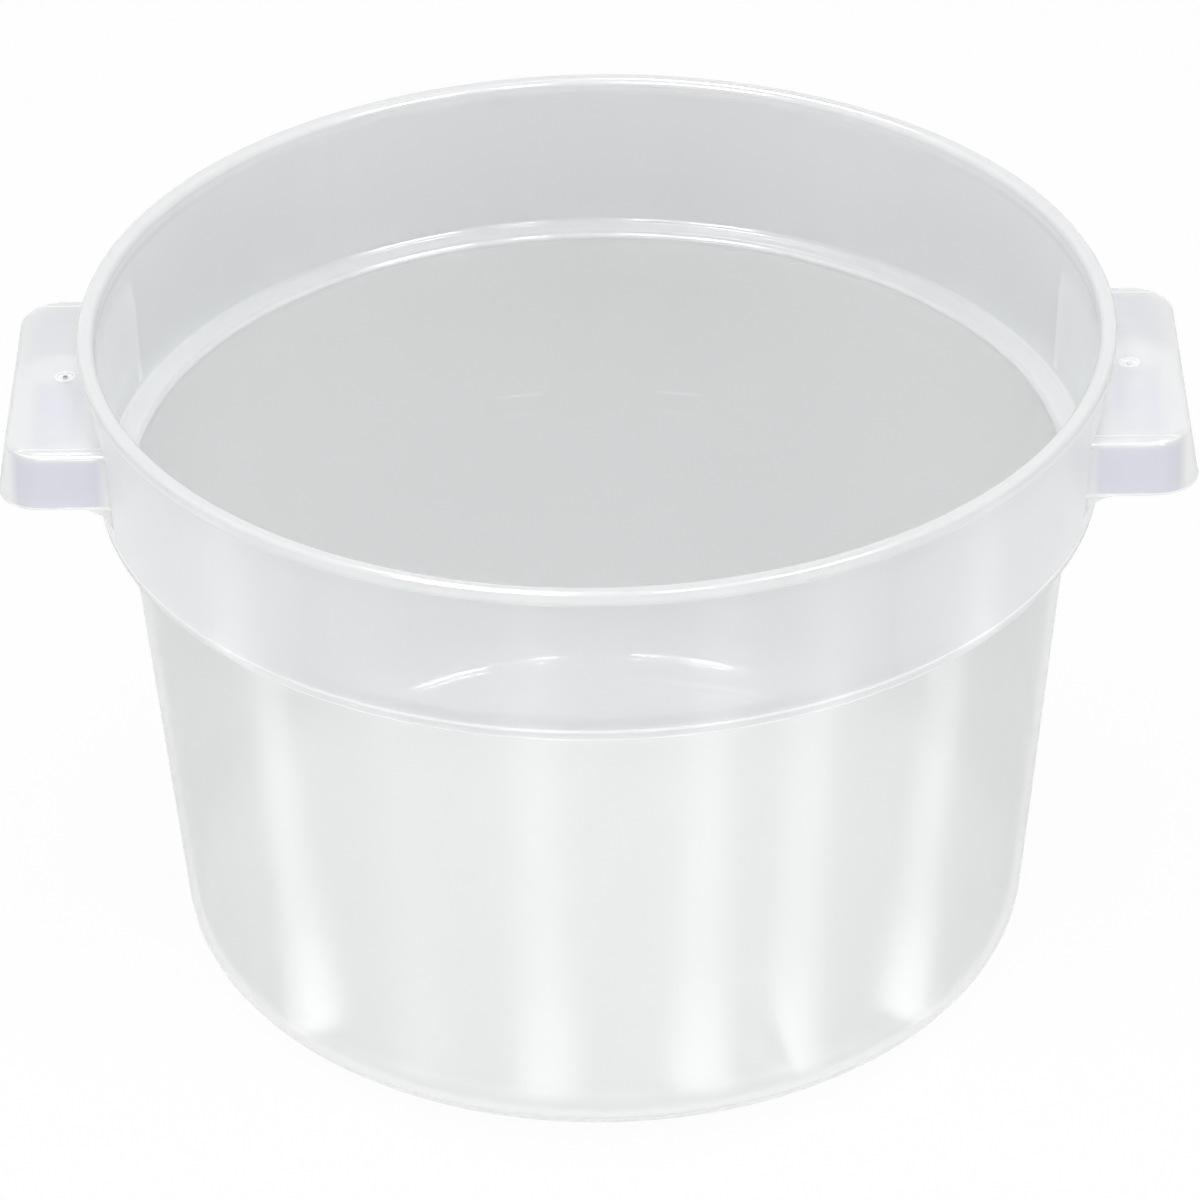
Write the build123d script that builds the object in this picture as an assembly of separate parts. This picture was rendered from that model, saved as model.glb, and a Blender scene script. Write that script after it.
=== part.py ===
from build123d import *
from math import hypot, sqrt
import os

# A round tub for proofing dough, moulded in one piece from translucent polypropylene.
# It has a drafted lower wall, a shoulder that steps out to a collar, a thick rim that a lid
# snaps over, and two hollow handles on the collar. Millimetres, +Z up. The origin is at the
# middle of the foot, and the handles stand out along +X and -X.
# The moulding is divided where its sections change, with flat cuts and no gaps.

# Tub as a whole
height = 226.0                 # from the foot to the top of the rim
rim_radius = 166.5             # outside of the rim, 333 mm across
wall = 2.8                     # thickness of the lower wall, the shoulder and the collar's foot

# Base
floor_thickness = 3.0
foot_recess = 1.2              # how far the floor's underside lies above the foot
foot_width = 9.0               # flat width of the ring that the tub stands on
base_round = 18.0              # outside round between the foot and the lower wall
base_height = 20.5             # top of the base, just above its rounds

# Lower wall
body_draft = 15.2              # how much the lower wall's radius grows from foot to shoulder

# Shoulder, the step from the lower wall out to the collar
shoulder_step = 8.0
shoulder_edge_round = 2.0      # convex, under the collar's foot
shoulder_inner_round = 1.6     # concave, where the lower wall meets the step
ledge_edge_round = 2.2         # convex, on the inside edge of the ledge
ledge_inner_round = 1.8        # concave, where the ledge meets the collar

# Collar
collar_height = 56.5           # from the top of the rim down to the step's underside
collar_draft = 2.3             # how much its outside radius shrinks towards the shoulder

# Rim
rim_land = 5.4                 # width across the top, rounds included
rim_band_height = 4.6
rim_overhang = 2.2             # how far the band stands out from the collar
rim_outer_round = 1.2
rim_under_round = 0.5
rim_inner_round = 2.2

# Handles, hollow trays open at the bottom
handle_drop = 19.8             # from the top of the rim down to the handle's top
handle_depth = 20.0            # from its top to the foot of its skirt
handle_length = 100.0          # along Y, at the foot of the skirt
handle_projection = 25.0       # beyond the rim, at the foot of the skirt
handle_draft = 3.4             # how far the outer side leans out from its top to its foot
handle_end_draft = 0.3         # the same for the two ends
handle_corner = 14.0           # round of the outer corners, seen from above
handle_web_round = 12.0        # round, seen from the front, that carries the ends down the collar
handle_flare = 2.5             # round, seen from above, where the ends meet the collar
handle_flare_sink = 0.15       # how far the end of that round dips into the collar
handle_root = 12.0             # how far the solid reaches in before the collar cuts it
handle_skin = 2.4              # thickness of the skirt
handle_top_skin = 2.6          # thickness of the top plate
handle_edge_round = 2.0        # around the top plate
handle_foot_round = 0.7        # around the foot of the skirt
handle_inner_round = 1.2       # under the top plate, inside

# Moulding mark on each handle, a dimple with a small nub in it
mark_offset = 7.8              # from the collar's surface to its middle
mark_radius = 2.7
mark_depth = 0.5
mark_nub_radius = 0.8

overrun = 5.0                  # how far a cutting solid passes the surface that it cuts

# Sizes that follow from these
band_z = height - rim_band_height
shoulder_z = height - collar_height
ledge_z = shoulder_z + wall
floor_z = foot_recess + floor_thickness
collar_top_radius = rim_radius - rim_overhang
collar_foot_radius = collar_top_radius - collar_draft
wall_top_radius = collar_foot_radius - shoulder_step
wall_foot_radius = wall_top_radius - body_draft
base_inner_round = base_round - wall
shoulder_cut_z = shoulder_z - 2 * ledge_edge_round
collar_cut_z = ledge_z + 2 * ledge_inner_round
handle_top_z = height - handle_drop
handle_foot_z = handle_top_z - handle_depth
handle_reach = rim_radius + handle_projection


def wall_radius(z):
    """Outside radius of the lower wall at height z."""
    return wall_foot_radius + body_draft * z / shoulder_z


def collar_radius(z):
    """Outside radius of the collar at height z."""
    return collar_foot_radius + collar_draft * (z - shoulder_z) / (band_z - shoulder_z)


def turned(corners):
    """A solid of revolution from its corners, each a radius, a height and a round."""
    points = [(radius, z) for radius, z, _ in corners]
    rounds = [corner_round for _, _, corner_round in corners]
    outline = FilletPolyline(*points, radius=rounds, close=True)
    return revolve(Plane.XZ * make_face(outline), Axis.Z)


# Corners up the outside, from the foot to the top of the rim
outside = [
    (wall_foot_radius, 0, base_round),
    (wall_top_radius, shoulder_z, shoulder_inner_round),
    (collar_foot_radius, shoulder_z, shoulder_edge_round),
    (collar_top_radius, band_z, 0),
    (rim_radius, band_z, rim_under_round),
    (rim_radius, height, rim_outer_round),
]


def make_tub():
    """The whole moulding without its handles."""
    foot_inner = wall_foot_radius - base_round - foot_width
    under = [(0, foot_recess, 0), (foot_inner - foot_recess, foot_recess, 0), (foot_inner, 0, 0)]
    inside = [
        (rim_radius - rim_land, height, rim_inner_round),
        (collar_foot_radius - wall, ledge_z, ledge_inner_round),
        (wall_top_radius - wall, ledge_z, ledge_edge_round),
        (wall_radius(floor_z) - wall, floor_z, base_inner_round),
        (0, floor_z, 0),
    ]
    return turned(under + outside + inside)


def make_envelope():
    """The space inside the tub's outer surface, which cuts the handles to the collar."""
    return turned([(0, 0, 0)] + outside + [(0, height, 0)])


def cut_sections(tub):
    """The tub's sections, each a node, from the base to the rim."""
    cuts = {
        "base": base_height,
        "lower_wall": shoulder_cut_z,
        "shoulder": collar_cut_z,
        "collar": band_z,
    }
    sections = {}
    rest = tub
    for name, z in cuts.items():
        level = Plane.XY.offset(z)
        sections[name] = split(rest, level, Keep.BOTTOM)
        rest = split(rest, level, Keep.TOP)
    sections["rim"] = rest
    return sections


def handle_plan(z, skin=0, flared=True):
    """A handle's outline at height z, drawn in by a skin, with its root inside the collar."""
    rise = (z - handle_foot_z) / handle_depth
    half = handle_length / 2 - handle_end_draft * rise - skin
    reach = handle_reach - handle_draft * rise - skin
    corner = handle_corner - skin
    surface = collar_radius(z) - handle_flare_sink
    root = sqrt(surface**2 - half**2) - handle_root
    if flared:
        # The flare's centre lies its own radius off the skirt and off the collar
        centre_y = half + handle_flare
        centre_x = sqrt((surface + handle_flare) ** 2 - centre_y**2)
        share = surface / hypot(centre_x, centre_y)
        touch = (centre_x * share, centre_y * share)
        inner_end = (root, touch[1])
        flank = Line(inner_end, touch) + TangentArc(
            (centre_x, half), touch, tangent=(-1, 0)
        )
        skirt_start = (centre_x, half)
    else:
        inner_end = (root, half)
        flank = None
        skirt_start = inner_end
    edge = [
        Line((root, 0), inner_end),
        flank,
        Line(skirt_start, (reach - corner, half)),
        TangentArc((reach - corner, half), (reach, half - corner), tangent=(1, 0)),
        Line((reach, half - corner), (reach, 0)),
    ]
    side = Curve() + [piece for piece in edge if piece is not None]
    return Pos(0, 0, z) * make_face(side + mirror(side, Plane.XZ))


def outer_edges(face, root_x):
    """The edges of a handle's flat face, without those at its root inside the collar."""
    return [edge for edge in face.edges() if edge.center().X > root_x]


def make_handle(envelope):
    """The handle on +X: a drafted tray, open at the bottom, cut to the collar's surface."""
    web_z = handle_foot_z - handle_web_round
    block = loft([handle_plan(web_z), handle_plan(handle_top_z)], ruled=True)
    root_x = collar_foot_radius - handle_root
    block = fillet(outer_edges(block.faces().sort_by(Axis.Z)[-1], root_x), handle_edge_round)

    # Below the foot of the skirt only a rounded web is left at each end, against the collar
    web_x = sqrt(collar_foot_radius**2 - (handle_length / 2 + handle_flare) ** 2)
    relief = Pos(web_x, 0, handle_foot_z) * Box(
        handle_reach,
        handle_length + handle_root,
        handle_web_round + overrun,
        align=(Align.MIN, Align.CENTER, Align.MAX),
    )
    relief_edge = relief.edges().filter_by(Axis.Y).group_by(Axis.X)[0].sort_by(Axis.Z)[-1]
    block -= fillet(relief_edge, handle_web_round)
    foot = block.faces().filter_by(Axis.Z).sort_by(Axis.X)[-1]
    foot_start = web_x + handle_web_round + handle_foot_round
    block = fillet(outer_edges(foot, foot_start), handle_foot_round)

    void_top = handle_top_z - handle_top_skin
    void = loft(
        [
            handle_plan(web_z - overrun, handle_skin, flared=False),
            handle_plan(void_top, handle_skin, flared=False),
        ],
        ruled=True,
    )
    void = fillet(outer_edges(void.faces().sort_by(Axis.Z)[-1], root_x), handle_inner_round)

    mark_x = collar_radius(handle_top_z) + mark_offset
    downwards = (Align.CENTER, Align.CENTER, Align.MAX)
    dimple = Cylinder(mark_radius, mark_depth, align=downwards)
    dimple -= Cylinder(mark_nub_radius, mark_depth, align=downwards)
    return block - void - envelope - Pos(mark_x, 0, handle_top_z) * dimple


parts = cut_sections(make_tub())
parts["handle_right"] = make_handle(make_envelope())
parts["handle_left"] = mirror(parts["handle_right"], Plane.YZ)

os.makedirs("parts", exist_ok=True)
for name, part in parts.items():
    export_step(part, f"parts/{name}.step")
    box = part.bounding_box()
    print(name, len(part.solids()), "solid", round(part.volume), "mm3", box.min, box.max)
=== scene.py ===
from math import cos, pi, radians, sin, tan, tau

import bmesh
import bpy
from mathutils import Matrix, Quaternion, Vector


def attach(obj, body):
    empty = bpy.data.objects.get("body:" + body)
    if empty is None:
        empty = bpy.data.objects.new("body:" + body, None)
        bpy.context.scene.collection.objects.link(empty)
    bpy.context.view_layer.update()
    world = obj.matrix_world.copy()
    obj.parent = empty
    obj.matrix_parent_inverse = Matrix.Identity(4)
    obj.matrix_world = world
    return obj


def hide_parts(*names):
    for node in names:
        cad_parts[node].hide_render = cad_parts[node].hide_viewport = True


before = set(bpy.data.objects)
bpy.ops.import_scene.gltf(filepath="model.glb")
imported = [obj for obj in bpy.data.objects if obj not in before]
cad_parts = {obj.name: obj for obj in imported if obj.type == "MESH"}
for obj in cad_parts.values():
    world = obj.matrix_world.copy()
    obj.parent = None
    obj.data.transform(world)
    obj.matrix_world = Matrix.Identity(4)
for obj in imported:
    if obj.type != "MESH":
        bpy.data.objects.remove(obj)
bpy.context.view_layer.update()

mm = 0.001

# Sizes of the tub, as in its solids. The radii of the collar and of the lower wall are outside ones,
# the foot ring's is its inside, and a handle's mark is this far from the tub's axis.
height = 226 * mm
rim_radius, rim_land, rim_foot_z = 166.5 * mm, 5.4 * mm, 221.4 * mm
collar_top, collar_foot = 164.3 * mm, 162.0 * mm
wall_top, wall_foot = 154.0 * mm, 138.8 * mm
thickness = 2.8 * mm
shoulder_z, ledge_z, floor_z = 169.5 * mm, 172.3 * mm, 4.2 * mm
foot_inner, foot_recess = 111.8 * mm, 1.2 * mm
mark_reach = 171.43 * mm

bpy.context.scene.view_settings.view_transform = "Standard"


# The camera: a long lens in front of the tub and above it, turned a little to the right

def place_camera():
    turn = Quaternion((0, 0, 1), radians(0.255))
    aim = Vector((-0.25, 0, 118.2)) * mm
    place = Vector((0, -1807.3, 1266.9)) * mm
    look = (aim - place).to_track_quat("-Z", "Y")
    roll = Quaternion((0, 0, 1), radians(-0.894))

    lens = bpy.data.cameras.new("camera")
    lens.sensor_width = 36
    lens.lens = 195
    camera = bpy.data.objects.new("camera", lens)
    camera.location = turn @ place
    camera.rotation_mode = "QUATERNION"
    camera.rotation_quaternion = turn @ look @ roll
    bpy.context.scene.collection.objects.link(camera)
    bpy.context.scene.camera = camera


# Finishes

class Shade:
    """A shader socket with a number that varies. Arithmetic on it adds Math nodes."""

    def __init__(self, graph, socket):
        self.graph = graph
        self.socket = socket

    def maths(self, operation, *values):
        inputs = dict(enumerate([self, *values]))
        return self.graph.node("ShaderNodeMath", {"operation": operation}, inputs)

    def __add__(self, other):
        return self.maths("ADD", other)

    def __sub__(self, other):
        return self.maths("SUBTRACT", other)

    def __mul__(self, other):
        return self.maths("MULTIPLY", other)

    def __rsub__(self, other):
        return self * -1 + other

    def __abs__(self):
        return self.maths("ABSOLUTE")

    __radd__ = __add__
    __rmul__ = __mul__


class Graph:
    """The nodes of a material, of a lamp or of the world."""

    def __init__(self, owner):
        owner.use_nodes = True
        self.tree = owner.node_tree
        self.tree.nodes.clear()

    def node(self, kind, settings=None, inputs=None, output=0):
        """Adds a node with its settings, then its sockets' values or links, and returns an output."""
        made = self.tree.nodes.new(kind)
        for name, value in (settings or {}).items():
            if name == "stops":
                ramp = made.color_ramp.elements
                while len(ramp) < len(value):
                    ramp.new(1)
                for stop, (position, colour) in zip(ramp, value):
                    stop.position = position
                    stop.color = colour if hasattr(colour, "__len__") else (colour, colour, colour, 1)
            else:
                setattr(made, name, value)
        for name, value in (inputs or {}).items():
            if isinstance(value, Shade):
                self.tree.links.new(value.socket, made.inputs[name])
            else:
                made.inputs[name].default_value = value
        return Shade(self, made.outputs[output]) if made.outputs else None

    def ramp(self, value, *stops):
        """A value read through a ramp of (position, grey or colour) stops."""
        return self.node("ShaderNodeValToRGB", {"stops": stops}, {"Fac": value})

    def above(self, value, low, edge):
        """1 where a value is over low, fading to 0 at an edge's width below it."""
        inputs = {"Value": value, "From Min": low - edge, "From Max": low}
        return self.node("ShaderNodeMapRange", inputs=inputs)

    def below(self, value, high, edge):
        """1 where a value is under high, fading to 0 at an edge's width above it."""
        inputs = {"Value": value, "From Min": high + edge, "From Max": high}
        return self.node("ShaderNodeMapRange", inputs=inputs)

    def shows_white(self, mirrored=1.0):
        """1 to the camera and through glass, this share in mirrors, and 0 as light on the tub."""
        shares = {"Camera": 1.0, "Transmission": 1.0, "Glossy": mirrored}
        return sum(
            self.node("ShaderNodeLightPath", output=f"Is {ray} Ray") * share
            for ray, share in shares.items()
        )


class Finish(Graph):
    """A material on the tub."""

    def __init__(self, name):
        self.material = bpy.data.materials.new(name)
        super().__init__(self.material)
        self.place = self.node("ShaderNodeTexCoord", output="Object")
        self.x, self.y, self.z = (
            self.node("ShaderNodeSeparateXYZ", inputs={"Vector": self.place}, output=axis) for axis in "XYZ"
        )

    def noise(self, scale, detail=2.0, stretch=(1, 1, 1), turn=(0, 0, 0)):
        """Noise over the piece, from 0 to 1, with blobs of about 1 / scale metres."""
        mapping = {"Vector": self.place, "Rotation": turn, "Scale": stretch}
        place = self.node("ShaderNodeMapping", inputs=mapping)
        return self.node("ShaderNodeTexNoise", inputs={"Vector": place, "Scale": scale, "Detail": detail})

    def upwards(self, *stops):
        """A ramp from the foot to the rim, with stops of (height in mm, grey or colour)."""
        return self.ramp(self.z * (1 / height), *((z * mm / height, value) for z, value in stops))

    def band(self, value, low, high, edge):
        """1 where a value is between low and high, with soft edges."""
        return self.above(value, low, edge) * self.below(value, high, edge)

    def blend(self, share, a, b):
        """Colour a, and colour b where share is 1."""
        inputs = {"Factor": share, "A": a, "B": b}
        return self.node("ShaderNodeMix", {"data_type": "RGBA"}, inputs, "Result")

    def plastic(self, tone, alpha, roughness, normal):
        """Ends the material in one Principled shader with polypropylene's gloss."""
        shader = self.node("ShaderNodeBsdfPrincipled", inputs={
            "Base Color": tone, "Alpha": alpha, "Roughness": roughness, "Normal": normal,
            "IOR": 1.49, "Specular IOR Level": 0.25,
        })
        self.node("ShaderNodeOutputMaterial", inputs={"Surface": shader})
        return self.material


def scuffed(finish, amount):
    """Roughness and normal of satin polypropylene with fine scuffs."""
    haze = finish.noise(30, detail=5)
    fine = finish.noise(520, detail=3, stretch=(1, 1, 0.25), turn=(0.4, 0.3, 0))
    patches = finish.noise(20, detail=3)
    scuffs = finish.ramp(fine, (0.55, 0), (0.68, 1)) * finish.ramp(patches, (0.42, 0), (0.62, 1))
    flow = finish.noise(9, detail=2) * 0.8 + finish.noise(70, detail=3) * 0.06
    relief = {"Strength": 0.35, "Distance": 0.5 * mm, "Height": flow + scuffs * (0.05 * amount)}
    normal = finish.node("ShaderNodeBump", inputs=relief, output="Normal")
    roughness = haze * 0.09 + scuffs * (0.03 * amount) + 0.14
    return roughness, normal


def body_plastic():
    """The tub: milky in its walls, clearest in its floor, denser at its edges and by the handles, with painted
    shade and highlights.
    """
    finish = Finish("tub_milky_plastic")
    reach, side = abs(finish.x), abs(finish.y)
    radius = (finish.x * finish.x + finish.y * finish.y).maths("SQRT")

    # The wall's middle radius tells its inside from its outside. A ramp's greys end at 1, so it
    # holds the radius as a share of 200 mm.
    middle_line = ((0, 137.4), (170.5, 152.6), (171.3, 160.4), (226, 163.0))
    middle = finish.upwards(*((z, middle_radius / 200) for z, middle_radius in middle_line)) * (200 * mm)
    inside = finish.below(radius - middle, -0.3 * mm, 0.6 * mm)

    # Painted shade: the inside tones are darker than the outside ones, for the shade inside the tub
    wall_tone, wall_inside_shade = (0.905, 0.918, 0.919, 1), (0.81, 0.825, 0.828, 1)
    collar_tone, collar_inside_shade = (0.94, 0.95, 0.96, 1), (0.78, 0.795, 0.81, 1)
    centre_shade_tone = (0.69, 0.705, 0.72, 1)
    # Painted highlight: the light band under the shoulder. Painted shade: the ledge and the rim darker than the
    # walls
    foot_highlight_tone, ledge_shade_tone, rim_shade_tone = (0.96, 0.965, 0.97, 1), (0.64, 0.655, 0.67, 1), (0.85, 0.86, 0.866, 1)
    bright = (0.965, 0.98, 0.99, 1)
    outer = finish.upwards(
        (0, wall_tone), (169.05, wall_tone), (169.5, foot_highlight_tone), (170.6, foot_highlight_tone),
        (171.3, collar_tone), (220.35, collar_tone), (222.6, rim_shade_tone),
    )
    inner = finish.upwards(
        (0, wall_inside_shade), (171.1, wall_inside_shade), (172, ledge_shade_tone), (173.1, ledge_shade_tone),
        (174.5, collar_inside_shade), (218.1, collar_inside_shade), (221.5, rim_shade_tone),
    )
    tone = finish.blend(inside, outer, inner)
    # Painted shade: the collar darker towards its front and back middle
    centre_shade = finish.below(reach, 30 * mm, 100 * mm) * finish.band(finish.z, 172 * mm, 221 * mm, 2 * mm)
    tone = finish.blend(centre_shade * 0.6, tone, centre_shade_tone)
    density = finish.upwards(
        (0, 0.28), (5, 0.28), (20.3, 0.57), (168.8, 0.57), (169.5, 0.75), (170.6, 0.75),
        (171.3, 0.53), (220.35, 0.58), (222.6, 0.85),
    )

    # Painted highlights: light lines at the collar's foot and under the ledge, and faint short ones on the
    # inside wall
    foot_highlight = finish.band(finish.z, 173.3 * mm, 174.1 * mm, 0.3 * mm) * (1 - inside)
    ledge_highlight = finish.band(finish.z, 170.4 * mm, 171.4 * mm, 0.4 * mm) * inside
    short_highlights = finish.band(finish.z, 111.7 * mm, 112.3 * mm, 0.5 * mm)
    short_highlights += finish.band(finish.z, 104 * mm, 105 * mm, mm) * 0.25
    short_highlights *= finish.band(reach, 24 * mm, 31 * mm, 7 * mm) * inside

    # The handles behind the wall make it denser, and it is painted lighter beside and behind them as painted
    # light, with a line where each of their ends meets it
    behind_handle = finish.below(side, 49 * mm, 2 * mm) * finish.band(finish.z, 184 * mm, 207 * mm, 9 * mm)
    behind_handle *= finish.band(reach, 140 * mm, 170 * mm, mm)
    beside_handle = finish.above(reach, 156 * mm, 66 * mm)
    beside_handle *= finish.upwards((171.1, 0), (172.9, 1), (218.8, 1), (224.9, 0.15))
    seam = finish.band(side, 48.5 * mm, 50.5 * mm, 0.7 * mm) * finish.band(finish.z, 176 * mm, 205 * mm, mm)

    # Each share paints the wall lighter: painted light by the handles, the seams, and the painted highlight
    # lines
    shares = (beside_handle * 0.9, behind_handle, seam, foot_highlight, ledge_highlight * 0.8, short_highlights * 0.4)
    for share in shares:
        tone = finish.blend(share, tone, bright)
    cloud = finish.noise(7, detail=3)
    alpha = density + (cloud - 0.5) * 0.05 + seam * 0.2 + foot_highlight * 0.25
    alpha += beside_handle * 0.38 + behind_handle * 0.1

    # The rounds are polished, and draw the lamps as thin lines
    polish = finish.upwards(
        (0, 0), (3.4, 0.05), (13.6, 0.05), (22.6, 0), (167.2, 0), (169.5, 0.04), (173.6, 0.04),
        (176.3, 0), (218.1, 0), (221.5, 0.04),
    )
    roughness, normal = scuffed(finish, 1)
    return finish.plastic(tone, alpha, roughness - polish, normal)


def handle_plastic():
    """The handles: the same plastic, neutral along the edges, with painted shade, faintly violet, where their
    hollow shows through, and painted highlight lines.
    """
    finish = Finish("handle_milky_plastic")
    reach, side = abs(finish.x), abs(finish.y)
    # Painted shade: darker, faintly violet tones where the hollow under the handle shows through
    neutral, violet, skirt_violet = (0.925, 0.935, 0.937, 1), (0.835, 0.845, 0.905, 1), (0.715, 0.72, 0.8, 1)
    skirt = finish.band(finish.z, 187.5 * mm, 203 * mm, 1.5 * mm)
    hollow_shade_skirt = skirt * finish.band(reach, 159 * mm, 184 * mm, 3 * mm)
    hollow_shade_top = finish.band(reach, 167 * mm, 178 * mm, 4 * mm) * finish.band(finish.y, -40 * mm, -6 * mm, 6 * mm)
    hollow_shade_top *= finish.ramp(finish.noise(35, detail=3), (0.35, 0.6), (0.6, 1))
    tone = finish.blend(hollow_shade_top, neutral, violet)
    tone = finish.blend(hollow_shade_skirt, tone, skirt_violet)

    # Painted highlights: light lines along the top's edges and the skirt's foot
    outer_line = finish.band(finish.z, 205.1 * mm, 205.4 * mm, 0.2 * mm)
    side_line = finish.band(side, 45.3 * mm, 45.8 * mm, 0.25 * mm)
    side_line *= finish.band(finish.z, 205.8 * mm, 208 * mm, 0.2 * mm)
    foot_highlight = finish.band(finish.z, 186.4 * mm, 187.2 * mm, 0.3 * mm)
    lines = (outer_line + side_line) * finish.band(reach, 150 * mm, 184 * mm, mm) + foot_highlight

    # The moulding mark: a light ring in its dimple, with a dark point in the left one
    off_x = reach - mark_reach
    from_mark = (off_x * off_x + side * side).maths("SQRT")
    ring = finish.below(from_mark, 3.1 * mm, 0.5 * mm)
    point = finish.below(from_mark, 0.6 * mm, 0.4 * mm) * finish.below(finish.x, 0, mm)

    for share, grey in ((lines * 0.8, 0.97), (ring, 0.99), (point, 0.25)):
        tone = finish.blend(share, tone, (grey, grey, grey, 1))
    alpha = skirt * 0.12 + 0.55 + ring * 0.25 + lines * 0.15
    roughness, normal = scuffed(finish, 0.4)
    return finish.plastic(tone, alpha, roughness - 0.06, normal)


# Pieces

def rounded_outline(bm, corners, segments=7):
    """A flat face in the XZ plane with these corners, each (x, z, round)."""
    corner_verts = [bm.verts.new((x, 0, z)) for x, z, _ in corners]
    bm.faces.new(corner_verts)
    for vert, (_, _, radius) in zip(corner_verts, corners):
        if radius:
            sides = [edge.other_vert(vert).co - vert.co for edge in vert.link_edges]
            offset = radius / tan(sides[0].angle(sides[1]) / 2)
            bmesh.ops.bevel(
                bm, geom=[vert], affect="VERTICES", offset=offset, segments=segments,
                profile=0.5, material=-1,
            )


def finished(name, bm, material, slot, *nodes):
    """Puts a bmesh into the scene as a piece that rides on the part and stands for its nodes."""
    for face in bm.faces:
        face.smooth = True
    mesh = bpy.data.meshes.new(name)
    bm.to_mesh(mesh)
    bm.free()
    piece = bpy.data.objects.new(name, mesh)
    bpy.context.scene.collection.objects.link(piece)
    mesh.materials.append(material)
    even = piece.modifiers.new("even_shading", "WEIGHTED_NORMAL")
    even.weight = 90
    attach(piece, "root")
    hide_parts(*nodes)
    return piece


def tub(material):
    """The tub as one turned wall, from the middle of its underside round to the middle of its floor."""
    wall_at_floor = wall_foot + (wall_top - wall_foot) * floor_z / shoulder_z
    corners = [
        (0, foot_recess, 0),
        (foot_inner - foot_recess, foot_recess, 0),
        (foot_inner, 0, 0),
        (wall_foot, 0, 18 * mm),
        (wall_top, shoulder_z, 1.6 * mm),
        (collar_foot, shoulder_z, 2 * mm),
        (collar_top, rim_foot_z, 0.3 * mm),
        (rim_radius, rim_foot_z, 0.5 * mm),
        (rim_radius, height, 1.2 * mm),
        (rim_radius - rim_land, height, 2.2 * mm),
        (collar_foot - thickness, ledge_z, 1.8 * mm),
        (wall_top - thickness, ledge_z, 2.2 * mm),
        (wall_at_floor - thickness, floor_z, 15.2 * mm),
        (0, floor_z, 0),
    ]
    bm = bmesh.new()
    rounded_outline(bm, corners)
    bmesh.ops.delete(bm, geom=bm.faces[:], context="FACES_ONLY")
    on_axis = [edge for edge in bm.edges if all(vert.co.x == 0 for vert in edge.verts)]
    bmesh.ops.delete(bm, geom=on_axis, context="EDGES")
    bmesh.ops.spin(
        bm, geom=bm.verts[:] + bm.edges[:], cent=(0, 0, 0), axis=(0, 0, 1), dvec=(0, 0, 0),
        angle=tau, steps=256, use_merge=True, use_duplicate=False,
    )
    bmesh.ops.remove_doubles(bm, verts=bm.verts[:], dist=0.001 * mm)
    bmesh.ops.recalc_face_normals(bm, faces=bm.faces[:])
    return finished("tub", bm, material, "body_plastic", "base", "lower_wall", "shoulder", "collar", "rim")


def handles(material):
    """The handles keep their solids and get their finish."""
    for name in ("handle_left", "handle_right"):
        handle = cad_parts[name]
        for slot in handle.material_slots:
            slot.material = material


# Floor and lights

def pale_floor():
    """A white floor that keeps a soft shadow of the tub, and looks less bright in reflections."""
    below_foot = Matrix.Translation((0, 0, -0.2 * mm))
    bm = bmesh.new()
    bmesh.ops.create_grid(bm, x_segments=1, y_segments=1, size=20, matrix=below_foot)
    mesh = bpy.data.meshes.new("floor")
    bm.to_mesh(mesh)
    bm.free()
    floor = bpy.data.objects.new("floor", mesh)
    bpy.context.scene.collection.objects.link(floor)

    material = bpy.data.materials.new("white_floor")
    graph = Graph(material)
    lit = graph.node("ShaderNodeBsdfDiffuse", inputs={"Color": (0.93, 0.93, 0.93, 1)})
    white = graph.node("ShaderNodeEmission", inputs={"Color": (1, 1, 1, 1), "Strength": 1})
    surface = graph.node("ShaderNodeMixShader", inputs={0: graph.shows_white(0.45) * 0.93, 1: lit, 2: white})
    graph.node("ShaderNodeOutputMaterial", inputs={"Surface": surface})
    mesh.materials.append(material)


def white_room():
    """The world: white to look at, and about a third as strong as light."""
    light = 0.37
    world = bpy.data.worlds.new("white_room")
    graph = Graph(world)
    strength = graph.shows_white() * (1 - light) + light
    sky = graph.node("ShaderNodeBackground", inputs={"Color": (1, 1, 1, 1), "Strength": strength})
    graph.node("ShaderNodeOutputWorld", inputs={"Surface": sky})
    bpy.context.scene.world = world


def compass(azimuth):
    """A level direction. Azimuth 0 is the camera's side, and grows to the right."""
    return Vector((sin(radians(azimuth)), -cos(radians(azimuth)), 0))


def rectangle_light(name, place, turn, size, radiance):
    """A one-sided light panel that the camera doesn't see."""
    light = bpy.data.lights.new(name, "AREA")
    light.shape = "RECTANGLE"
    light.size, light.size_y = size
    light.energy = pi * size[0] * size[1] * radiance
    lamp = bpy.data.objects.new(name, light)
    lamp.location = place
    lamp.rotation_mode = "QUATERNION"
    lamp.rotation_quaternion = turn
    lamp.visible_camera = False
    bpy.context.scene.collection.objects.link(lamp)
    return lamp


def panel(name, azimuth, elevation, distance, size, radiance):
    """A light panel that faces the tub from a compass direction and an elevation."""
    tub_middle = Vector((0, 0, 120 * mm))
    away = compass(azimuth) * cos(radians(elevation)) + Vector((0, 0, sin(radians(elevation))))
    place = away * distance + tub_middle
    return rectangle_light(name, place, away.to_track_quat("Z", "Y"), size, radiance)


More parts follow.
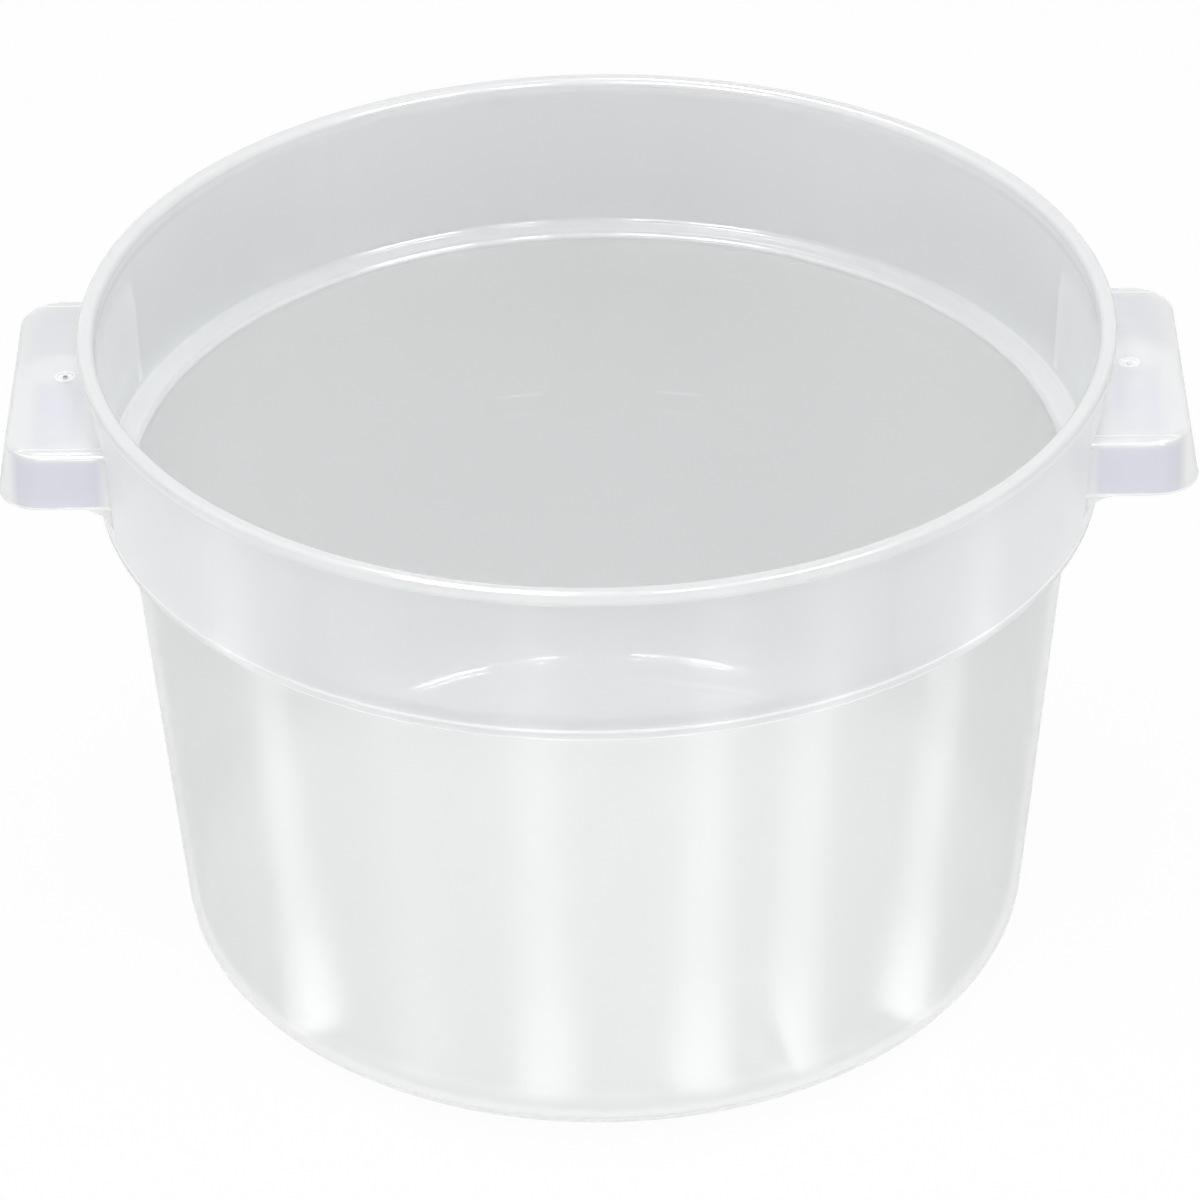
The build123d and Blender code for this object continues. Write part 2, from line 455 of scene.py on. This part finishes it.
def glint(azimuth, radiance):
    """A wedge of light on the floor that only reflections show, as a gloss table mirrors its lamps.

    It runs away from the foot, where the wall at half this azimuth mirrors it towards the camera.
    """
    width, length, foot_radius = 84 * mm, 430 * mm, 139 * mm
    outwards, along = compass(azimuth / 2), compass(azimuth)
    middle = outwards * foot_radius + (outwards * 0.08 + along) * length / 2 + Vector((0, 0, mm))
    turn = Quaternion((0, 0, 1), radians(azimuth)) @ Quaternion((1, 0, 0), pi)
    lamp = rectangle_light(f"glint_{azimuth}", middle, turn, (width, length), radiance)
    lamp.visible_diffuse = False

    graph = Graph(lamp.data)
    spot = graph.node("ShaderNodeNewGeometry", output="Parametric")
    across, out = (
        graph.node("ShaderNodeSeparateXYZ", inputs={"Vector": spot}, output=axis) for axis in "XY"
    )
    widening = out * 0.75 + 0.35
    aside = abs(across - 0.5) * 2
    within = graph.below(aside - widening, -0.25, 0.35)
    fade = graph.ramp(
        out,
        (0, 0.75), (0.07, 0.6), (0.14, 0.34), (0.28, 0.42), (0.56, 0.34), (0.62, 0.16), (0.85, 0.14), (1, 0),
    )
    glow = graph.node("ShaderNodeEmission", inputs={"Strength": within * fade})
    graph.node("ShaderNodeOutputLight", inputs={"Surface": glow})


def studio_light():
    """Wide panels shade the tub, and small lamps that only reflections show draw lines on its rounds."""
    white_room()
    # Each panel's azimuth and elevation in degrees, its distance and size in metres, and its radiance
    for shade in (
        panel("overhead", 0, 88, 2.2, (1.2, 1.2), 3.4),
        panel("front_key", 0, 55, 2.2, (1.2, 0.8), 2.1),
        panel("low_front", 0, 8, 2.0, (1.2, 0.3), 1.3),
        panel("low_left", -31, 10, 2.0, (0.7, 0.4), 6.5),
        panel("low_right", 30, 10, 2.0, (0.7, 0.4), 6.0),
        panel("rear_left", -112, 46, 2.2, (1.0, 0.8), 3.0),
        panel("rear_right", 112, 46, 2.2, (1.0, 0.8), 2.8),
    ):
        shade.visible_glossy = False
    for lamp in (
        panel("lamp_left", -14, 47, 2.4, (0.26, 0.12), 700),
        panel("lamp_far_left", -36, 47, 2.4, (0.5, 0.12), 900),
        panel("lamp_right", 20, 47, 2.4, (0.26, 0.12), 700),
        panel("lamp_far_right", 52, 47, 2.4, (0.7, 0.12), 900),
        panel("lamp_behind", 190, 56, 2.4, (0.3, 0.12), 600),
    ):
        lamp.visible_diffuse = False

    glint_radiance = 9.5
    for azimuth, strength in ((-94, 0.9), (-55, 0.3), (-17, 1.0), (27, 1.2), (55, 1.15), (98, 0.85)):
        glint(azimuth, glint_radiance * strength)


place_camera()
pale_floor()
studio_light()
tub(body_plastic())
handles(handle_plastic())
